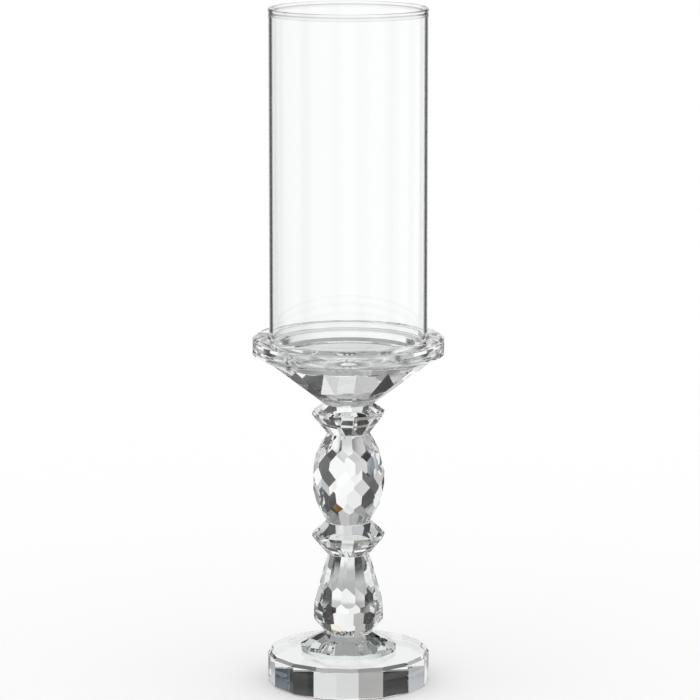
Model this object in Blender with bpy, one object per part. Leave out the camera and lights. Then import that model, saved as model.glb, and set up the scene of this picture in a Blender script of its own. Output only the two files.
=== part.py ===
# Cut crystal pedestal candle holder with a loose glass hurricane chimney.
# Metres, +Z up. The origin is the middle of the face that stands on the table.
import math

import bmesh
import bpy
from mathutils import Vector

MM = 0.001

# Driving dimensions
BOND_LINE = 0.30 * MM          # clear space between two bonded crystals
BOND_FILM = 0.20 * MM          # cured adhesive inside that space
BOND_INSET = 1.0 * MM          # how far the film stops short of the smaller face
SEAT_GAP = 0.30 * MM           # the loose chimney over its ledge

BASE_SIDES = 16
BASE_TURN = -8.75              # degrees, the middle of a side against the front
BASE_TOP_RADIUS = 49.5 * MM    # to the middle of a side, as for each bead below
BASE_ROW_HEIGHTS = [2.2 * MM, 17.2 * MM, 0.5 * MM]
BASE_ROW_TILTS = [24.4, 0.0, -45.0]

FOOT_FACETS = 12
FOOT_TURN = -4.0               # degrees, a facet edge against the front
FOOT_RADIUS = 30.4 * MM
FOOT_HEIGHT = 11.0 * MM
FOOT_BAND = 2.6 * MM
FOOT_TOP_RADIUS = 14.5 * MM

PEAR_FACETS = 15               # facets in each row
PEAR_TURN = 0.5                # degrees, a neck facet against the front
PEAR_NECK_RADIUS = 13.1 * MM
PEAR_ROW_HEIGHTS = [19.3 * MM, 9.9 * MM, 4.8 * MM, 8.2 * MM, 9.2 * MM]
PEAR_ROW_TILTS = [16.8, 12.5, 6.0, 1.0, -38.0]

EGG_FACETS = 12
EGG_TURN = -9.5
EGG_NECK_RADIUS = 13.2 * MM
EGG_ROW_HEIGHTS = [11.2 * MM, 11.5 * MM, 11.5 * MM, 11.6 * MM, 11.2 * MM]
EGG_ROW_TILTS = [29.0, 13.5, 0.5, -13.5, -28.5]

COLLAR_FACETS = 12
COLLAR_TURN = -7.5
COLLAR_FOOT_RADIUS = 13.2 * MM
COLLAR_GIRDLE_RADIUS = 22.4 * MM
COLLAR_GIRDLE_HEIGHT = 1.8 * MM
LOWER_COLLAR_PAVILION = 11.1 * MM
LOWER_COLLAR_CROWN = 7.6 * MM
LOWER_COLLAR_CROWN_SLOPE = 47.0
UPPER_COLLAR_PAVILION = 12.0 * MM
UPPER_COLLAR_CROWN = 5.2 * MM
UPPER_COLLAR_CROWN_SLOPE = 54.0

DISH_FACETS = 16
DISH_TURN = -5.55              # degrees, the middle of a facet against the front
DISH_FOOT_RADIUS = 15.9 * MM
DISH_RADIUS = 60.6 * MM
DISH_HEIGHT = 42.7 * MM
DISH_CONE_FLARE = 1.294        # outward for each step up, along the middle of a facet
DISH_RIM_LEVEL = 32.2 * MM     # lower edge of the round rim
DISH_RIM_FLARE = 1.75          # the turned underside between the facets and the rim
DISH_BEVEL_WIDTH = 2.2 * MM
DISH_BEVEL_DROP = 1.6 * MM
SEAT_RADIUS = 51.1 * MM
SEAT_DEPTH = 4.0 * MM
RECESS_RADIUS = 41.6 * MM
RECESS_DEPTH = 12.2 * MM       # from the rim to the floor under the candle
RECESS_CHAMFER = 0.5 * MM

CHIMNEY_RADIUS = 50.0 * MM
CHIMNEY_WALL = 2.0 * MM
CHIMNEY_LENGTH = 210.7 * MM
CHIMNEY_LIP = 1.3 * MM         # radius of the fire-polished upper lip
LIP_STEPS = 10

TURNED_STEPS = 96              # straight runs round a turned surface
SMOOTH_LIMIT = math.radians(8.0)
MERGE = 0.000001
BLANK_ALLOWANCE = 1.1          # a bead's blank against its widest row

CRYSTAL_COLOUR = (0.98, 0.99, 0.99)
CRYSTAL_INDEX = 1.52
CHIMNEY_COLOUR = (0.97, 0.98, 0.98)
CHIMNEY_INDEX = 1.47
ADHESIVE_COLOUR = (0.96, 0.96, 0.93)
ADHESIVE_INDEX = 1.50
POLISHED_ROUGHNESS = 0.01
ADHESIVE_ROUGHNESS = 0.05


def clear_scene():
    for old in list(bpy.data.objects):
        bpy.data.objects.remove(old, do_unlink=True)


def clear_material(name, colour, roughness, index):
    material = bpy.data.materials.new(name)
    material.use_nodes = True
    shader = material.node_tree.nodes["Principled BSDF"]
    shader.inputs["Base Color"].default_value = (*colour, 1.0)
    shader.inputs["Roughness"].default_value = roughness
    shader.inputs["Metallic"].default_value = 0.0
    shader.inputs["IOR"].default_value = index
    shader.inputs["Transmission Weight"].default_value = 1.0
    return material


def add_piece(bm, name, height, turn, material, parent):
    bmesh.ops.remove_doubles(bm, verts=bm.verts[:], dist=MERGE)
    bmesh.ops.dissolve_degenerate(bm, edges=bm.edges[:], dist=MERGE)
    bmesh.ops.recalc_face_normals(bm, faces=bm.faces[:])
    mesh = bpy.data.meshes.new(name)
    bm.to_mesh(mesh)
    bm.free()
    mesh.materials.append(material)
    mesh.shade_smooth()
    mesh.set_sharp_from_angle(angle=SMOOTH_LIMIT)
    piece = bpy.data.objects.new(name, mesh)
    bpy.context.scene.collection.objects.link(piece)
    piece.parent = parent
    piece.location = (0.0, 0.0, height)
    piece.rotation_euler = (0.0, 0.0, math.radians(turn))
    return piece


def turned_blank(profile):
    """A profile of (radius, height) points, turned once round the Z axis."""
    bm = bmesh.new()
    points = [bm.verts.new((radius, 0.0, height)) for radius, height in profile]
    edges = [bm.edges.new(pair) for pair in zip(points, points[1:])]
    bmesh.ops.spin(bm, geom=points + edges, cent=(0.0, 0.0, 0.0), axis=(0.0, 0.0, 1.0),
                   angle=math.tau, steps=TURNED_STEPS, use_merge=True)
    bmesh.ops.remove_doubles(bm, verts=bm.verts[:], dist=MERGE)
    bmesh.ops.dissolve_degenerate(bm, edges=bm.edges[:], dist=MERGE)
    return bm


def round_blank(radius, height):
    return turned_blank([(0.0, 0.0), (radius, 0.0), (radius, height), (0.0, height)])


def grind_facet(bm, azimuth, tilt, radius, height):
    """One flat cut, facing azimuth and tilted up from level, that touches (radius, height)."""
    outward = Vector((math.sin(azimuth), -math.cos(azimuth), 0.0))
    normal = outward * math.cos(tilt) + Vector((0.0, 0.0, math.sin(tilt)))
    touch = outward * radius + Vector((0.0, 0.0, height))
    cut = bmesh.ops.bisect_plane(bm, geom=bm.verts[:] + bm.edges[:] + bm.faces[:], dist=MERGE,
                                 plane_co=touch, plane_no=normal, clear_outer=True)
    rim = [item for item in cut["geom_cut"] if isinstance(item, bmesh.types.BMEdge)]
    bmesh.ops.edgeloop_fill(bm, edges=rim)


def grind_row(bm, count, half_step, tilt, radius, height):
    """A full turn of flat cuts. A half step staggers the row against the one before it."""
    step = math.tau / count
    start = step / 2 if half_step else 0.0
    for index in range(count):
        grind_facet(bm, start + index * step, math.radians(tilt), radius, height)


def grind_rows(facets, neck_radius, row_heights, row_tilts, staggered):
    """Rows of facets from the neck down, each starting at the radius where the last one ends."""
    height = sum(row_heights)
    drops = [run * math.tan(math.radians(tilt)) for run, tilt in zip(row_heights, row_tilts)]
    widest = neck_radius + sum(drop for drop in drops if drop > 0.0)
    bm = round_blank(BLANK_ALLOWANCE * widest, height)
    radius = neck_radius
    for index, tilt in enumerate(row_tilts):
        grind_row(bm, facets, staggered and index % 2 == 1, tilt, radius, height)
        radius += drops[index]
        height -= row_heights[index]
    return bm


def base_disc():
    return grind_rows(BASE_SIDES, BASE_TOP_RADIUS, BASE_ROW_HEIGHTS, BASE_ROW_TILTS, staggered=False)


def foot_cone():
    bm = round_blank(FOOT_RADIUS, FOOT_HEIGHT)
    rise = FOOT_HEIGHT - FOOT_BAND
    tilt = math.degrees(math.atan2(FOOT_RADIUS - FOOT_TOP_RADIUS, rise))
    grind_row(bm, FOOT_FACETS, True, tilt, FOOT_TOP_RADIUS, FOOT_HEIGHT)
    return bm


def pear_bead():
    return grind_rows(PEAR_FACETS, PEAR_NECK_RADIUS, PEAR_ROW_HEIGHTS, PEAR_ROW_TILTS, staggered=True)


def egg_bead():
    return grind_rows(EGG_FACETS, EGG_NECK_RADIUS, EGG_ROW_HEIGHTS, EGG_ROW_TILTS, staggered=True)


def collar_height(pavilion, crown):
    return pavilion + COLLAR_GIRDLE_HEIGHT + crown


def collar_top_radius(crown, slope):
    return COLLAR_GIRDLE_RADIUS - crown * math.tan(math.radians(slope))


def collar(pavilion, crown, slope):
    """A double cone: crown facets over a thin girdle, and pavilion facets down to the foot."""
    under = math.atan2(COLLAR_GIRDLE_RADIUS - COLLAR_FOOT_RADIUS, pavilion)
    return grind_rows(COLLAR_FACETS, collar_top_radius(crown, slope),
                      [crown, COLLAR_GIRDLE_HEIGHT, pavilion],
                      [slope, 0.0, -math.degrees(under)], staggered=False)


def grind_cone(bm, ring_level):
    """Move the foot ring and the ring above it out to flat facets that meet the turned underside."""
    step = math.tau / DISH_FACETS
    inner = DISH_RADIUS - DISH_RIM_LEVEL * DISH_RIM_FLARE
    for vert in bm.verts:
        radius = math.hypot(vert.co.x, vert.co.y)
        if radius < MERGE or vert.co.z > ring_level + MERGE:
            continue
        turn = math.atan2(vert.co.y, vert.co.x)
        off = turn - step * round(turn / step)
        level = 0.0
        if vert.co.z > MERGE:
            flare = DISH_RIM_FLARE - DISH_CONE_FLARE / math.cos(off)
            level = (DISH_FOOT_RADIUS / math.cos(off) - inner) / flare
        reach = (DISH_FOOT_RADIUS + DISH_CONE_FLARE * level) / math.cos(off)
        vert.co = (reach * math.cos(turn), reach * math.sin(turn), level)


def candle_dish():
    ledge = DISH_HEIGHT - SEAT_DEPTH
    floor = DISH_HEIGHT - RECESS_DEPTH
    edge = RECESS_CHAMFER
    ring_level = DISH_RIM_LEVEL / 2
    bm = turned_blank([
        (0.0, 0.0),
        (DISH_FOOT_RADIUS, 0.0),
        (DISH_FOOT_RADIUS, ring_level),
        (DISH_RADIUS, DISH_RIM_LEVEL),
        (DISH_RADIUS, DISH_HEIGHT - DISH_BEVEL_DROP),
        (DISH_RADIUS - DISH_BEVEL_WIDTH, DISH_HEIGHT),
        (SEAT_RADIUS + edge, DISH_HEIGHT),
        (SEAT_RADIUS, DISH_HEIGHT - edge),
        (SEAT_RADIUS, ledge),
        (RECESS_RADIUS + edge, ledge),
        (RECESS_RADIUS, ledge - edge),
        (RECESS_RADIUS, floor),
        (0.0, floor),
    ])
    grind_cone(bm, ring_level)
    return bm


def glass_chimney():
    inner = CHIMNEY_RADIUS - CHIMNEY_WALL
    middle = CHIMNEY_RADIUS - CHIMNEY_WALL / 2
    foot = CHIMNEY_WALL / 2
    spread = math.acos(foot / CHIMNEY_LIP)
    lip_height = CHIMNEY_LENGTH - CHIMNEY_LIP
    profile = []
    for index in range(LIP_STEPS + 1):
        # fire-polished lip, a bead slightly fatter than the wall
        angle = -spread + (math.pi + 2 * spread) * index / LIP_STEPS
        point = (middle + CHIMNEY_LIP * math.cos(angle), lip_height + CHIMNEY_LIP * math.sin(angle))
        profile.append(point)
    for index in range(LIP_STEPS // 2 + 1):
        # plain rounded lower edge
        angle = math.pi + math.pi * index / (LIP_STEPS // 2)
        profile.append((middle + foot * math.cos(angle), foot + foot * math.sin(angle)))
    profile.append(profile[0])
    return turned_blank(profile)


def foot_radius(neck_radius, row_heights, row_tilts):
    rows = zip(row_heights, row_tilts)
    return neck_radius + sum(run * math.tan(math.radians(tilt)) for run, tilt in rows)


def bond_film(radius):
    return round_blank(radius - BOND_INSET, BOND_FILM)


def build():
    clear_scene()
    stem = bpy.data.objects.new("stem_axis", None)
    bpy.context.scene.collection.objects.link(stem)

    lower_height = collar_height(LOWER_COLLAR_PAVILION, LOWER_COLLAR_CROWN)
    upper_height = collar_height(UPPER_COLLAR_PAVILION, UPPER_COLLAR_CROWN)
    pear_foot = min(foot_radius(PEAR_NECK_RADIUS, PEAR_ROW_HEIGHTS, PEAR_ROW_TILTS), FOOT_TOP_RADIUS)
    egg_foot = min(foot_radius(EGG_NECK_RADIUS, EGG_ROW_HEIGHTS, EGG_ROW_TILTS),
                   collar_top_radius(LOWER_COLLAR_CROWN, LOWER_COLLAR_CROWN_SLOPE))
    dish_bond = min(DISH_FOOT_RADIUS, collar_top_radius(UPPER_COLLAR_CROWN, UPPER_COLLAR_CROWN_SLOPE))
    lower_collar = collar(LOWER_COLLAR_PAVILION, LOWER_COLLAR_CROWN, LOWER_COLLAR_CROWN_SLOPE)
    upper_collar = collar(UPPER_COLLAR_PAVILION, UPPER_COLLAR_CROWN, UPPER_COLLAR_CROWN_SLOPE)

    # each crystal from the table up: solid, height, turn, and the bond under it with its radius
    stack = {
        "base_disc": (base_disc(), sum(BASE_ROW_HEIGHTS), BASE_TURN, None, 0.0),
        "foot_cone": (foot_cone(), FOOT_HEIGHT, FOOT_TURN, "bond_foot", FOOT_RADIUS),
        "pear_bead": (pear_bead(), sum(PEAR_ROW_HEIGHTS), PEAR_TURN, "bond_pear", pear_foot),
        "lower_collar": (lower_collar, lower_height, COLLAR_TURN, "bond_lower_collar", PEAR_NECK_RADIUS),
        "egg_bead": (egg_bead(), sum(EGG_ROW_HEIGHTS), EGG_TURN, "bond_egg", egg_foot),
        "upper_collar": (upper_collar, upper_height, COLLAR_TURN, "bond_upper_collar", COLLAR_FOOT_RADIUS),
        "candle_dish": (candle_dish(), DISH_HEIGHT, DISH_TURN, "bond_dish", dish_bond),
    }

    level = 0.0
    for name, (solid, height, turn, bond_name, bond_radius) in stack.items():
        if bond_name:
            adhesive = clear_material(bond_name, ADHESIVE_COLOUR, ADHESIVE_ROUGHNESS, ADHESIVE_INDEX)
            film_level = level + (BOND_LINE - BOND_FILM) / 2
            add_piece(bond_film(bond_radius), bond_name, film_level, 0.0, adhesive, stem)
            level += BOND_LINE
        crystal = clear_material(name, CRYSTAL_COLOUR, POLISHED_ROUGHNESS, CRYSTAL_INDEX)
        add_piece(solid, name, level, turn, crystal, stem)
        level += height

    chimney_level = level - SEAT_DEPTH + SEAT_GAP
    glass = clear_material("glass_chimney", CHIMNEY_COLOUR, POLISHED_ROUGHNESS, CHIMNEY_INDEX)
    add_piece(glass_chimney(), "glass_chimney", chimney_level, 0.0, glass, stem)


build()
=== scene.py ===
import math
import random
import bmesh
import bpy
from mathutils import Matrix, Vector


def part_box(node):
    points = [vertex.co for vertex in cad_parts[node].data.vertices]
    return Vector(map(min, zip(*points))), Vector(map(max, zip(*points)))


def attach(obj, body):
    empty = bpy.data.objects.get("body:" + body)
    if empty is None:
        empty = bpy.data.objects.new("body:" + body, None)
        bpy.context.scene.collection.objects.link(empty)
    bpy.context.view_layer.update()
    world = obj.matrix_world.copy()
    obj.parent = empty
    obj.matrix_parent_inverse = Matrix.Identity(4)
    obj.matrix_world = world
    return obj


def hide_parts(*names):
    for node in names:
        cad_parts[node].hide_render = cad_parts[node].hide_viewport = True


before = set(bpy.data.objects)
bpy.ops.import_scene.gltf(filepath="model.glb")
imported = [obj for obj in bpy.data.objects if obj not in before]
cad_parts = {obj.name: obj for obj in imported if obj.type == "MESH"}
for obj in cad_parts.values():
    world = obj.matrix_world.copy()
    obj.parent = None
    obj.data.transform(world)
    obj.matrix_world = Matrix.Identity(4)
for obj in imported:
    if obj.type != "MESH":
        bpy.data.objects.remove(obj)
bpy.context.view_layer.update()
print("frame loaded:", len(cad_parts), "solids")

scene = bpy.context.scene
scene.view_settings.view_transform = "Standard"
scene.cycles.max_bounces = 40  # cut crystal sends light round many times inside
scene.cycles.transmission_bounces = 40
scene.cycles.glossy_bounces = 24
scene.cycles.transparent_max_bounces = 40

mm = 0.001
merge = 0.000001

# Glass and adhesive

crystalLook = {
    "tint": (0.985, 0.995, 0.995),
    "ior": 1.52,
    "roughness": (0.0, 0.008),
    "marks": (1500, 1500, 50),  # upright polishing marks, as a scale on each axis
    "marksDetail": (3, 0.6),  # octaves and their strength
    "depth": 0.0000005,
}
footCrystalLook = dict(crystalLook, tint=(0.86, 0.905, 0.89))  # thick glass shows its green-grey here
chimneyLook = {
    "tint": (0.99, 0.995, 0.995),
    "ior": 1.47,
    "gloss": 0.25,
    "roughness": (0.0, 0.01),
    "marks": (220, 220, 9),  # long draw lines of the glass tube
    "marksDetail": (3, 0.6),
    "depth": 0.0000008,
}
floorLook = {
    "tint": (0.985, 0.995, 0.995),
    "ior": 1.52,
    "roughness": (0.01, 0.05),
    "ringScale": 170,  # turning marks round the middle of the recess
    "ringWobble": 1.5,
    "ringDetail": (3, 0.6),  # octaves and their scale
    "depth": 0.000002,
}
adhesiveLook = {
    "tint": (0.99, 0.99, 0.98),
    "haze": (0.975, 0.975, 0.96),
    "hazeScale": 240,
    "hazeDetail": 3,
    "ior": 1.0,  # matched to the crystal on both sides of it
    "roughness": 0.0,
}
marksRange = (0.3, 0.75)  # the part of a pattern that runs from smooth to rough
colourMix = {"factor": 0, "first": 6, "second": 7, "result": 2}  # a Mix node's sockets for colours


def addNode(tree, kind, values, **settings):
    node = tree.nodes.new(kind)
    for key, value in settings.items():
        setattr(node, key, value)
    for key, value in values.items():
        if isinstance(value, bpy.types.NodeSocket):
            tree.links.new(value, node.inputs[key])
        else:
            node.inputs[key].default_value = value
    return node


def grey(level):
    return (level, level, level, 1)


def mixColour(tree, factor, first, second, blend="MIX"):
    values = {colourMix["factor"]: factor, colourMix["first"]: first, colourMix["second"]: second}
    mix = addNode(tree, "ShaderNodeMix", values, data_type="RGBA", blend_type=blend)
    return mix.outputs[colourMix["result"]]


def clearGlass(name, look):
    mat = bpy.data.materials.new(name)
    mat.use_nodes = True
    shader = mat.node_tree.nodes["Principled BSDF"]
    shader.inputs["Base Color"].default_value = (*look["tint"], 1)
    shader.inputs["IOR"].default_value = look["ior"]
    shader.inputs["Transmission Weight"].default_value = 1
    coord = mat.node_tree.nodes.new("ShaderNodeTexCoord").outputs["Object"]
    return mat, mat.node_tree, shader, coord


def addMarks(tree, shader, pattern, look):
    smooth, rough = look["roughness"]
    low, high = marksRange
    spread = addNode(tree, "ShaderNodeMapRange", {"Value": pattern, "From Min": low, "From Max": high,
                                                  "To Min": smooth, "To Max": rough})
    tree.links.new(spread.outputs["Result"], shader.inputs["Roughness"])
    bump = addNode(tree, "ShaderNodeBump", {"Height": pattern, "Strength": 1, "Distance": look["depth"]})
    tree.links.new(bump.outputs["Normal"], shader.inputs["Normal"])


def makePolished(name, look):
    mat, tree, shader, coord = clearGlass(name, look)
    if "gloss" in look:
        shader.inputs["Specular IOR Level"].default_value = look["gloss"]
    stretch = addNode(tree, "ShaderNodeMapping", {"Vector": coord, "Scale": look["marks"]})
    octaves, strength = look["marksDetail"]
    marks = addNode(tree, "ShaderNodeTexNoise", {"Vector": stretch.outputs["Vector"], "Scale": 1,
                                                 "Detail": octaves, "Roughness": strength})
    addMarks(tree, shader, marks.outputs["Fac"], look)
    return mat


def makeTurned(name, look):
    mat, tree, shader, coord = clearGlass(name, look)
    octaves, octaveScale = look["ringDetail"]
    rings = addNode(tree, "ShaderNodeTexWave", {"Vector": coord, "Scale": look["ringScale"],
                                                "Distortion": look["ringWobble"],
                                                "Detail": octaves, "Detail Scale": octaveScale},
                    wave_type="RINGS", rings_direction="Z")
    addMarks(tree, shader, rings.outputs["Fac"], look)
    return mat


def makeAdhesive(name, look):
    mat, tree, shader, coord = clearGlass(name, look)
    shader.inputs["Roughness"].default_value = look["roughness"]
    cloud = addNode(tree, "ShaderNodeTexNoise", {"Vector": coord, "Scale": look["hazeScale"],
                                                 "Detail": look["hazeDetail"]})
    haze = mixColour(tree, cloud.outputs["Fac"], (*look["tint"], 1), (*look["haze"], 1))
    tree.links.new(haze, shader.inputs["Base Color"])
    return mat


def makeBondedFace(name):
    mat = bpy.data.materials.new(name)
    mat.use_nodes = True
    nodes = mat.node_tree.nodes
    nodes.clear()
    clear = nodes.new("ShaderNodeBsdfTransparent")
    out = nodes.new("ShaderNodeOutputMaterial")
    mat.node_tree.links.new(clear.outputs[0], out.inputs["Surface"])
    return mat


cutCrystal = makePolished("cut_crystal", crystalLook)
footCrystal = makePolished("foot_crystal", footCrystalLook)
turnedFloor = makeTurned("turned_floor", floorLook)
chimneyGlass = makePolished("chimney_glass", chimneyLook)
clearAdhesive = makeAdhesive("clear_adhesive", adhesiveLook)
bondedFace = makeBondedFace("bonded_face")

# Turning and grinding

turning = {
    "steps": 256,
    "blankSteps": 96,
    "blankRoom": 1.1,  # a blank is this much wider than the bead cut from it
    "smoothAngle": 4,  # degrees, sharper edges stay crisp
    "flatAngle": 0.0005,  # radians, faces as flat as this become one facet
    "bondEdge": 0.4 * mm,  # how far a bonded face stops short of its edge
}
bondedSlot = 1  # places in the list of a crystal's materials
turnedSlot = 2
handCut = {
    "seed": 11,
    "tilt": 0.5,  # degrees a hand ground facet may be off
    "azimuth": 0.9,
}


def turnBlank(profile, steps):
    bm = bmesh.new()
    points = [bm.verts.new((radius, 0, height)) for radius, height in profile]
    edges = [bm.edges.new(pair) for pair in zip(points, points[1:])]
    bmesh.ops.spin(bm, geom=points + edges, cent=(0, 0, 0), axis=(0, 0, 1),
                   angle=math.tau, steps=steps, use_merge=True)
    bmesh.ops.remove_doubles(bm, verts=bm.verts[:], dist=merge)
    bmesh.ops.dissolve_degenerate(bm, edges=bm.edges[:], dist=merge)
    return bm


def roundBlank(radius, height, steps):
    return turnBlank([(0, 0), (radius, 0), (radius, height), (0, height)], steps)


def grindFacet(bm, azimuth, tilt, radius, height):
    outward = Vector((math.sin(azimuth), -math.cos(azimuth), 0))
    normal = outward * math.cos(tilt) + Vector((0, 0, math.sin(tilt)))
    touch = outward * radius + Vector((0, 0, height))
    cut = bmesh.ops.bisect_plane(bm, geom=bm.verts[:] + bm.edges[:] + bm.faces[:], dist=merge,
                                 plane_co=touch, plane_no=normal, clear_outer=True)
    rim = [item for item in cut["geom_cut"] if isinstance(item, bmesh.types.BMEdge)]
    bmesh.ops.edgeloop_fill(bm, edges=rim)


def grindRow(bm, count, halfStep, tilt, radius, height, hand=None):
    step = math.tau / count
    start = step / 2 if halfStep else 0
    for index in range(count):
        azimuth = start + index * step
        lean = tilt
        if hand:
            azimuth += math.radians(hand.uniform(-handCut["azimuth"], handCut["azimuth"]))
            lean += hand.uniform(-handCut["tilt"], handCut["tilt"])
        grindFacet(bm, azimuth, math.radians(lean), radius, height)


def grindRows(look, staggered):
    height = sum(look["rowHeights"])
    drops = [run * math.tan(math.radians(tilt)) for run, tilt in zip(look["rowHeights"], look["rowTilts"])]
    widest = look["neckRadius"] + sum(drop for drop in drops if drop > 0)
    bm = roundBlank(turning["blankRoom"] * widest, height, turning["blankSteps"])
    radius = look["neckRadius"]
    hand = random.Random(handCut["seed"]) if staggered else None
    for index, tilt in enumerate(look["rowTilts"]):
        grindRow(bm, look["facets"], staggered and index % 2 == 1, tilt, radius, height, hand)
        radius += drops[index]
        height -= look["rowHeights"][index]
    return bm


def bondEnd(bm, pickEnd, radius):
    bm.normal_update()
    level = pickEnd(v.co.z for v in bm.verts)
    ends = [f for f in bm.faces if all(abs(v.co.z - level) < merge for v in f.verts)]
    if len(ends) > 1:
        ends = bmesh.ops.dissolve_faces(bm, faces=ends, use_verts=True)["region"]
    end = ends[0]
    apothem = min(((e.verts[0].co + e.verts[1].co) / 2).to_2d().length for e in end.edges)
    bmesh.ops.inset_region(bm, faces=[end], thickness=apothem - radius, use_even_offset=True)
    end.material_index = bondedSlot


def finishPiece(bm, name, turn, node, body, materials, smoothAngle):
    bmesh.ops.remove_doubles(bm, verts=bm.verts[:], dist=merge)
    bmesh.ops.dissolve_degenerate(bm, edges=bm.edges[:], dist=merge)
    bmesh.ops.recalc_face_normals(bm, faces=bm.faces[:])
    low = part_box(node)[0]
    bmesh.ops.rotate(bm, verts=bm.verts[:], cent=(0, 0, 0),
                     matrix=Matrix.Rotation(math.radians(turn), 3, "Z"))
    bmesh.ops.translate(bm, verts=bm.verts[:], vec=(0, 0, low.z))
    mesh = bpy.data.meshes.new(name)
    bm.to_mesh(mesh)
    bm.free()
    for mat in materials:
        mesh.materials.append(mat)
    mesh.shade_smooth()
    mesh.set_sharp_from_angle(angle=math.radians(smoothAngle))
    piece = bpy.data.objects.new(name, mesh)
    scene.collection.objects.link(piece)
    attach(piece, body)
    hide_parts(node)


def finishCrystal(bm, name, turn, node, crystal=cutCrystal):
    finishPiece(bm, name, turn, node, "stand",
                [crystal, bondedFace, turnedFloor], turning["smoothAngle"])


# Beads and collars, with the foot that the lowest bead stands on

footLook = {
    "facets": 12,
    "radius": 30.4 * mm,  # of the round band at its edge
    "height": 11 * mm,
    "band": 2.6 * mm,
    "topRadius": 14.5 * mm,
    "bondRadius": 9 * mm,  # the spot where the adhesive wets the base
    "turn": -4,
}
pearLook = {
    "facets": 15,
    "neckRadius": 13.1 * mm,
    "rowHeights": [31 * mm, 11.2 * mm, 9.2 * mm],  # the long neck, the belly and the foot
    "rowTilts": [15, 1.9, -38],
    "turn": 0.5,
}
eggLook = {
    "facets": 13,
    "neckRadius": 13.2 * mm,
    "rowHeights": [11.2 * mm, 11.5 * mm, 11.5 * mm, 11.6 * mm, 11.2 * mm],
    "rowTilts": [29, 13.5, 0.5, -13.5, -28.5],
    "turn": -5.6,
}
collarLook = {
    "facets": 12,
    "footRadius": 13.2 * mm,
    "girdleRadius": 22.4 * mm,
    "girdleHeight": 1.8 * mm,
    "lower": {"pavilion": 11.1 * mm, "crown": 7.6 * mm, "crownSlope": 47},
    "upper": {"pavilion": 12 * mm, "crown": 5.2 * mm, "crownSlope": 54},
    "dishBond": 5 * mm,  # the spot where the adhesive wets the dish
    "turn": -7.5,
}


def footOf(look):
    rows = zip(look["rowHeights"], look["rowTilts"])
    return look["neckRadius"] + sum(run * math.tan(math.radians(tilt)) for run, tilt in rows)


def collarRows(size):
    under = math.atan2(collarLook["girdleRadius"] - collarLook["footRadius"], size["pavilion"])
    crownRun = size["crown"] * math.tan(math.radians(size["crownSlope"]))
    return {
        "facets": collarLook["facets"],
        "neckRadius": collarLook["girdleRadius"] - crownRun,
        "rowHeights": [size["crown"], collarLook["girdleHeight"], size["pavilion"]],
        "rowTilts": [size["crownSlope"], 0, -math.degrees(under)],
    }


lowerRows = collarRows(collarLook["lower"])
upperRows = collarRows(collarLook["upper"])
neckBond = min(pearLook["neckRadius"], collarLook["footRadius"]) - turning["bondEdge"]
eggFootBond = min(lowerRows["neckRadius"], footOf(eggLook)) - turning["bondEdge"]
eggNeckBond = min(eggLook["neckRadius"], collarLook["footRadius"]) - turning["bondEdge"]
dishBond = collarLook["dishBond"]
pearBond = min(footLook["topRadius"], footOf(pearLook)) - turning["bondEdge"]

crystals = [
    ("pearBead", pearLook, True, pearLook["turn"], "pear_bead", pearBond, neckBond),
    ("lowerCollar", lowerRows, False, collarLook["turn"], "lower_collar", neckBond, eggFootBond),
    ("eggBead", eggLook, True, eggLook["turn"], "egg_bead", eggFootBond, eggNeckBond),
    ("upperCollar", upperRows, False, collarLook["turn"], "upper_collar", eggNeckBond, dishBond),
]
for name, look, staggered, turn, node, lowBond, highBond in crystals:
    bm = grindRows(look, staggered)
    bondEnd(bm, min, lowBond)
    bondEnd(bm, max, highBond)
    finishCrystal(bm, name, turn, node)
print("beads and collars cut")

# Base and foot

baseLook = {
    "facets": 16,
    "neckRadius": 49.5 * mm,  # to the middle of a side
    "rowHeights": [2.2 * mm, 17.2 * mm, 0.5 * mm],
    "rowTilts": [24.4, 0, -45],
    "turn": -8.75,
}
footBond = footLook["bondRadius"]

bm = grindRows(baseLook, False)
bondEnd(bm, max, footBond)
finishCrystal(bm, "baseDisc", baseLook["turn"], "base_disc")

bm = roundBlank(footLook["radius"], footLook["height"], turning["steps"])
footSlope = math.degrees(math.atan2(footLook["radius"] - footLook["topRadius"],
                                    footLook["height"] - footLook["band"]))
grindRow(bm, footLook["facets"], True, footSlope, footLook["topRadius"], footLook["height"])
bondEnd(bm, min, footBond)
bondEnd(bm, max, pearBond)
finishCrystal(bm, "footCone", footLook["turn"], "foot_cone", footCrystal)
print("base and foot cut")

# Candle dish

dishLook = {
    "facets": 16,
    "footRadius": 15.9 * mm,
    "radius": 60.6 * mm,
    "height": 42.7 * mm,
    "coneFlare": 1.294,  # outward for each step up, along the middle of a facet
    "rimLevel": 32.2 * mm,
    "rimFlare": 1.75,  # the turned underside between the facets and the rim
    "bevelWidth": 2.2 * mm,
    "bevelDrop": 1.6 * mm,
    "seatRadius": 51.1 * mm,
    "seatDepth": 4 * mm,
    "recessRadius": 41.6 * mm,
    "recessDepth": 12.2 * mm,
    "edge": 0.5 * mm,
    "turn": -5.55,
}


def grindCone(bm, ringLevel):
    look = dishLook
    step = math.tau / look["facets"]
    inner = look["radius"] - look["rimLevel"] * look["rimFlare"]
    for vert in bm.verts:
        radius = vert.co.to_2d().length
        if radius < merge or vert.co.z > ringLevel + merge:
            continue
        turn = math.atan2(vert.co.y, vert.co.x)
        lean = 1 / math.cos(turn - step * round(turn / step))
        level = 0
        if vert.co.z > merge:
            level = (look["footRadius"] * lean - inner) / (look["rimFlare"] - look["coneFlare"] * lean)
        reach = (look["footRadius"] + look["coneFlare"] * level) * lean
        vert.co = (reach * math.cos(turn), reach * math.sin(turn), level)


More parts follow.
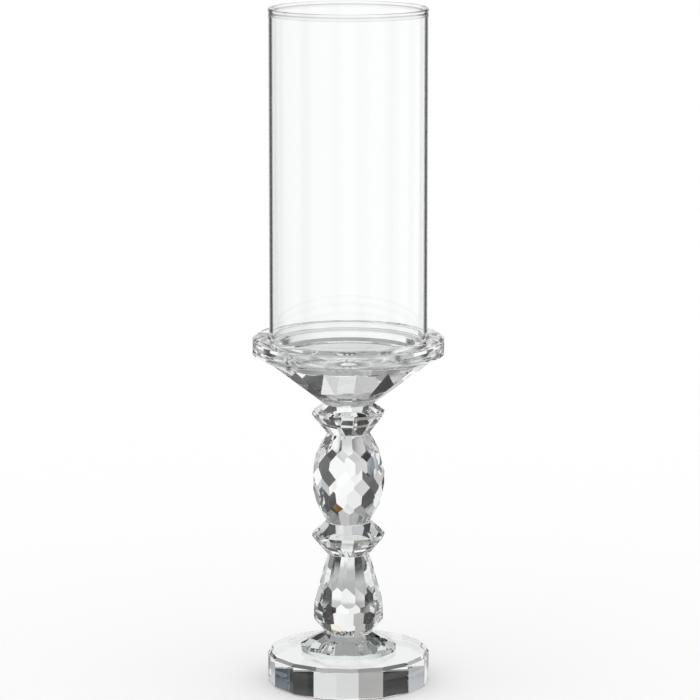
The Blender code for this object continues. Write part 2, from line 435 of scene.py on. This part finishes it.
def cutDish():
    look = dishLook
    top = look["height"]
    ledge = top - look["seatDepth"]
    floor = top - look["recessDepth"]
    edge = look["edge"]
    ringLevel = look["rimLevel"] / 2
    bm = turnBlank([
        (0, 0),
        (look["footRadius"], 0),
        (look["footRadius"], ringLevel),
        (look["radius"], look["rimLevel"]),
        (look["radius"], top - look["bevelDrop"]),
        (look["radius"] - look["bevelWidth"], top),
        (look["seatRadius"] + edge, top),
        (look["seatRadius"], top - edge),
        (look["seatRadius"], ledge),
        (look["recessRadius"] + edge, ledge),
        (look["recessRadius"], ledge - edge),
        (look["recessRadius"], floor),
        (0, floor),
    ], turning["steps"])
    grindCone(bm, ringLevel)
    bmesh.ops.dissolve_limit(bm, angle_limit=turning["flatAngle"], verts=bm.verts[:], edges=bm.edges[:])
    bondEnd(bm, min, dishBond)
    for face in bm.faces:
        if all(abs(v.co.z - floor) < merge for v in face.verts):
            face.material_index = turnedSlot
    finishCrystal(bm, "candleDish", look["turn"], "candle_dish")


cutDish()
print("dish cut")

# Chimney

chimneyShape = {
    "radius": 50 * mm,
    "wall": 2 * mm,
    "length": 210.7 * mm,
    "lip": 1.3 * mm,
    "lipSteps": 24,
    "guard": 2 * mm,  # loops beside the lips, so that the long walls shade flat
    "smoothAngle": 40,
}


def drawChimney():
    look = chimneyShape
    middle = look["radius"] - look["wall"] / 2
    foot = look["wall"] / 2
    spread = math.acos(foot / look["lip"])
    lipHeight = look["length"] - look["lip"]
    profile = []
    for index in range(look["lipSteps"] + 1):
        angle = -spread + (math.pi + 2 * spread) * index / look["lipSteps"]
        profile.append((middle + look["lip"] * math.cos(angle), lipHeight + look["lip"] * math.sin(angle)))
    wallEnds = (lipHeight - 2 * look["guard"], foot + look["guard"])
    profile.extend((middle - foot, height) for height in wallEnds)
    footSteps = look["lipSteps"] // 2
    for index in range(footSteps + 1):
        angle = math.pi + math.pi * index / footSteps
        profile.append((middle + foot * math.cos(angle), foot + foot * math.sin(angle)))
    profile.extend((middle + foot, height) for height in reversed(wallEnds))
    profile.append(profile[0])
    bm = turnBlank(profile, turning["steps"])
    finishPiece(bm, "glassChimney", 0, "glass_chimney", "chimney",
                [chimneyGlass], look["smoothAngle"])


drawChimney()
print("chimney drawn")

for name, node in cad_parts.items():
    if name.startswith("bond_"):
        node.data.materials.clear()
        node.data.materials.append(clearAdhesive)
print("adhesive films coated")

# Floor, light and camera

studio = {
    "floorRadius": 14,
    "floorSteps": 96,
    "floorDrop": 0.5 * mm,  # keeps the floor just clear of the base
    "fringe": 0.012,  # how far apart red, green and blue see the dark bands, as a share of the width
    "floorFringe": 0.004,
    "ceiling": 0.38,
    "ceilingStart": (0.34, 0.7),  # sine of the height angle
    "nearFloor": (0.1, 0.113),  # white, then a painted shadow round the base, out to here, then as the wall behind it
    "paintedBaseShadowLevels": [(0, 1), (0.06, 1), (0.072, 0.48), (0.13, 0.48)],  # painted shadow round the base: distance from the stem, brightness
    "farFloor": (0.172, 0.182),  # beyond this the floor has its own, paler painted dark bands
    "horizon": (0.05, 0.1),  # and so has the wall below this height
    "farLevels": [(-180, 1), (-126, 1), (-119, 0.65), (-110, 0.65), (-103, 1), (-77, 1), (-70, 0.65),
                  (-61, 0.65), (-54, 1), (-38.5, 1), (-36, 0.08), (-19, 0.08), (-16.5, 0.6), (-14, 0.75),
                  (-5, 0.95), (0, 1), (15.8, 1), (17.2, 0.1), (35, 0.1), (39, 1), (99, 1), (106, 0.65),
                  (116, 0.65), (123, 1), (148, 1), (155, 0.65), (165, 0.65), (172, 1)],
    "floorReach": 0.5,
    # painted shadow rings on the floor round the stand, which only the glass sees: distance from the stem,
    # brightness
    "paintedShadowRingLevels": [(0, 0.6), (0.12, 0.6), (0.126, 1), (0.19, 1), (0.2, 0.68), (0.3, 0.72), (0.37, 1)],
    "falloff": (0.1, 0.42, 0.45),  # the walls grow darker with height
    "levels": [(-180, 0.02), (-150, 0.03), (-128, 0.05), (-105, 0), (-100, 0.9), (-80, 0.95), (-77, 0),
               (-69, 0), (-65, 1), (-53.5, 1), (-50, 0.5), (-47, 0.8), (-39, 0.8), (-36, 0.03), (-20, 0.03),
               (-16, 0.42), (-13, 0.5), (-8, 0.85), (0, 0.92), (7, 1), (14.1, 1), (15.4, 0.03), (50.5, 0.03),
               (57, 0.55), (96, 0.7), (100, 0.05), (121, 0.05), (125, 0.9), (145, 0.9), (149, 0.03),
               (180, 0.02)],
}


def mathNode(tree, operation, first, second):
    return addNode(tree, "ShaderNodeMath", {0: first, 1: second}, operation=operation).outputs[0]


def levelRamp(tree, place, levels):
    ramp = addNode(tree, "ShaderNodeValToRGB", {0: place})
    stops = ramp.color_ramp.elements
    while len(stops) < len(levels):
        stops.new(0.5)
    for stop, (position, level) in zip(stops, levels):
        stop.position = position
        stop.color = grey(level)
    return ramp.outputs["Color"]


def ringColour(tree, vector, ring, fringe):
    split = addNode(tree, "ShaderNodeSeparateXYZ", {0: vector})
    levels = [(0.5 + degrees / 360, level) for degrees, level in ring]
    mixed = tree.nodes.new("ShaderNodeCombineXYZ")
    for index, spread in enumerate((1 - fringe, 1, 1 + fringe)):
        across = mathNode(tree, "MULTIPLY", split.outputs["X"], spread)
        angle = mathNode(tree, "ARCTAN2", across, split.outputs["Y"])
        place = mathNode(tree, "ADD", mathNode(tree, "MULTIPLY", angle, 1 / math.tau), 0.5)
        tree.links.new(levelRamp(tree, place, levels), mixed.inputs[index])
    return mixed.outputs[0], split.outputs["Z"]


def stepBetween(tree, value, low, high):
    node = addNode(tree, "ShaderNodeMapRange", {"Value": value, "From Min": low, "From Max": high},
                   interpolation_type="SMOOTHSTEP")
    return node.outputs["Result"]


def glassRays(tree):
    path = tree.nodes.new("ShaderNodeLightPath")
    return mathNode(tree, "MAXIMUM", path.outputs["Is Glossy Ray"], path.outputs["Is Transmission Ray"])


def makeFloor():
    bm = bmesh.new()
    bmesh.ops.create_circle(bm, cap_ends=True, segments=studio["floorSteps"],
                            radius=studio["floorRadius"])
    bmesh.ops.translate(bm, verts=bm.verts[:], vec=(0, 0, -studio["floorDrop"]))
    mesh = bpy.data.meshes.new("studioFloor")
    bm.to_mesh(mesh)
    bm.free()
    floor = bpy.data.objects.new("studioFloor", mesh)
    scene.collection.objects.link(floor)
    mat = bpy.data.materials.new("paleFloor")
    mat.use_nodes = True
    tree = mat.node_tree
    tree.nodes.clear()
    coord = tree.nodes.new("ShaderNodeTexCoord").outputs["Object"]
    # For glass rays the floor glows, with dark bands with colour fringes painted on it as the shade of the
    # dark walls.
    ring = ringColour(tree, coord, studio["levels"], studio["floorFringe"])[0]
    farRing = ringColour(tree, coord, studio["farLevels"], studio["floorFringe"])[0]
    away = addNode(tree, "ShaderNodeVectorMath", {0: coord}, operation="LENGTH").outputs["Value"]
    bands = mixColour(tree, stepBetween(tree, away, *studio["farFloor"]), ring, farRing)
    reach = studio["floorReach"]
    place = mathNode(tree, "DIVIDE", away, reach)
    # painted shadow rings on the floor, which only the glass sees, darken the bands
    level = levelRamp(tree, place, [(radius / reach, level) for radius, level in studio["paintedShadowRingLevels"]])
    # painted shadow round the base, which only the glass sees
    baseShadowPaint = levelRamp(tree, place, [(radius / reach, level) for radius, level in studio["paintedBaseShadowLevels"]])
    shaded = mixColour(tree, 1, bands, level, "MULTIPLY")
    shown = mixColour(tree, stepBetween(tree, away, *studio["nearFloor"]), baseShadowPaint, shaded)
    matte = addNode(tree, "ShaderNodeBsdfDiffuse", {"Color": grey(1)}).outputs[0]
    # the floor as the glass sees it: a glow carrying the painted bands and shadows; the camera sees the
    # matte floor
    paintedShadeGlow = addNode(tree, "ShaderNodeEmission", {"Color": shown}).outputs[0]
    mix = addNode(tree, "ShaderNodeMixShader", {0: glassRays(tree), 1: matte, 2: paintedShadeGlow}).outputs[0]
    addNode(tree, "ShaderNodeOutputMaterial", {"Surface": mix})
    mesh.materials.append(mat)


def makeWorld():
    world = bpy.data.worlds.new("studio")
    scene.world = world
    world.use_nodes = True
    tree = world.node_tree
    tree.nodes.clear()
    coord = tree.nodes.new("ShaderNodeTexCoord").outputs["Generated"]
    ring, height = ringColour(tree, coord, studio["levels"], studio["fringe"])
    farRing = ringColour(tree, coord, studio["farLevels"], studio["fringe"])[0]
    ring = mixColour(tree, stepBetween(tree, height, *studio["horizon"]), farRing, ring)
    low, high, share = studio["falloff"]
    darker = mathNode(tree, "MULTIPLY", stepBetween(tree, height, low, high), share)
    wall = mixColour(tree, darker, ring, grey(0))
    room = mixColour(tree, stepBetween(tree, height, *studio["ceilingStart"]), wall, grey(studio["ceiling"]))
    shown = mixColour(tree, glassRays(tree), grey(1), room)
    back = addNode(tree, "ShaderNodeBackground", {"Color": shown}).outputs[0]
    addNode(tree, "ShaderNodeOutputWorld", {"Surface": back})


photoView = {
    "distance": 2.293,
    "height": 0.638,
    "pitch": 10.47,
    "focalPixels": 3695,
    "framePixels": 700,
    "axisPixel": 348.4,
    "sensorWidth": 36,
    "clipStart": 0.05,
}


def makeCamera():
    data = bpy.data.cameras.new("photo_camera")
    data.sensor_width = photoView["sensorWidth"]
    data.lens = data.sensor_width * photoView["focalPixels"] / photoView["framePixels"]
    data.clip_start = photoView["clipStart"]
    camera = bpy.data.objects.new("photo_camera", data)
    scene.collection.objects.link(camera)
    camera.location = (0, -photoView["distance"], photoView["height"])
    swing = (photoView["framePixels"] / 2 - photoView["axisPixel"]) / photoView["focalPixels"]
    camera.rotation_euler = (math.radians(90 - photoView["pitch"]), 0, -swing)
    scene.camera = camera


makeFloor()
makeWorld()
makeCamera()
print("studio and camera set")
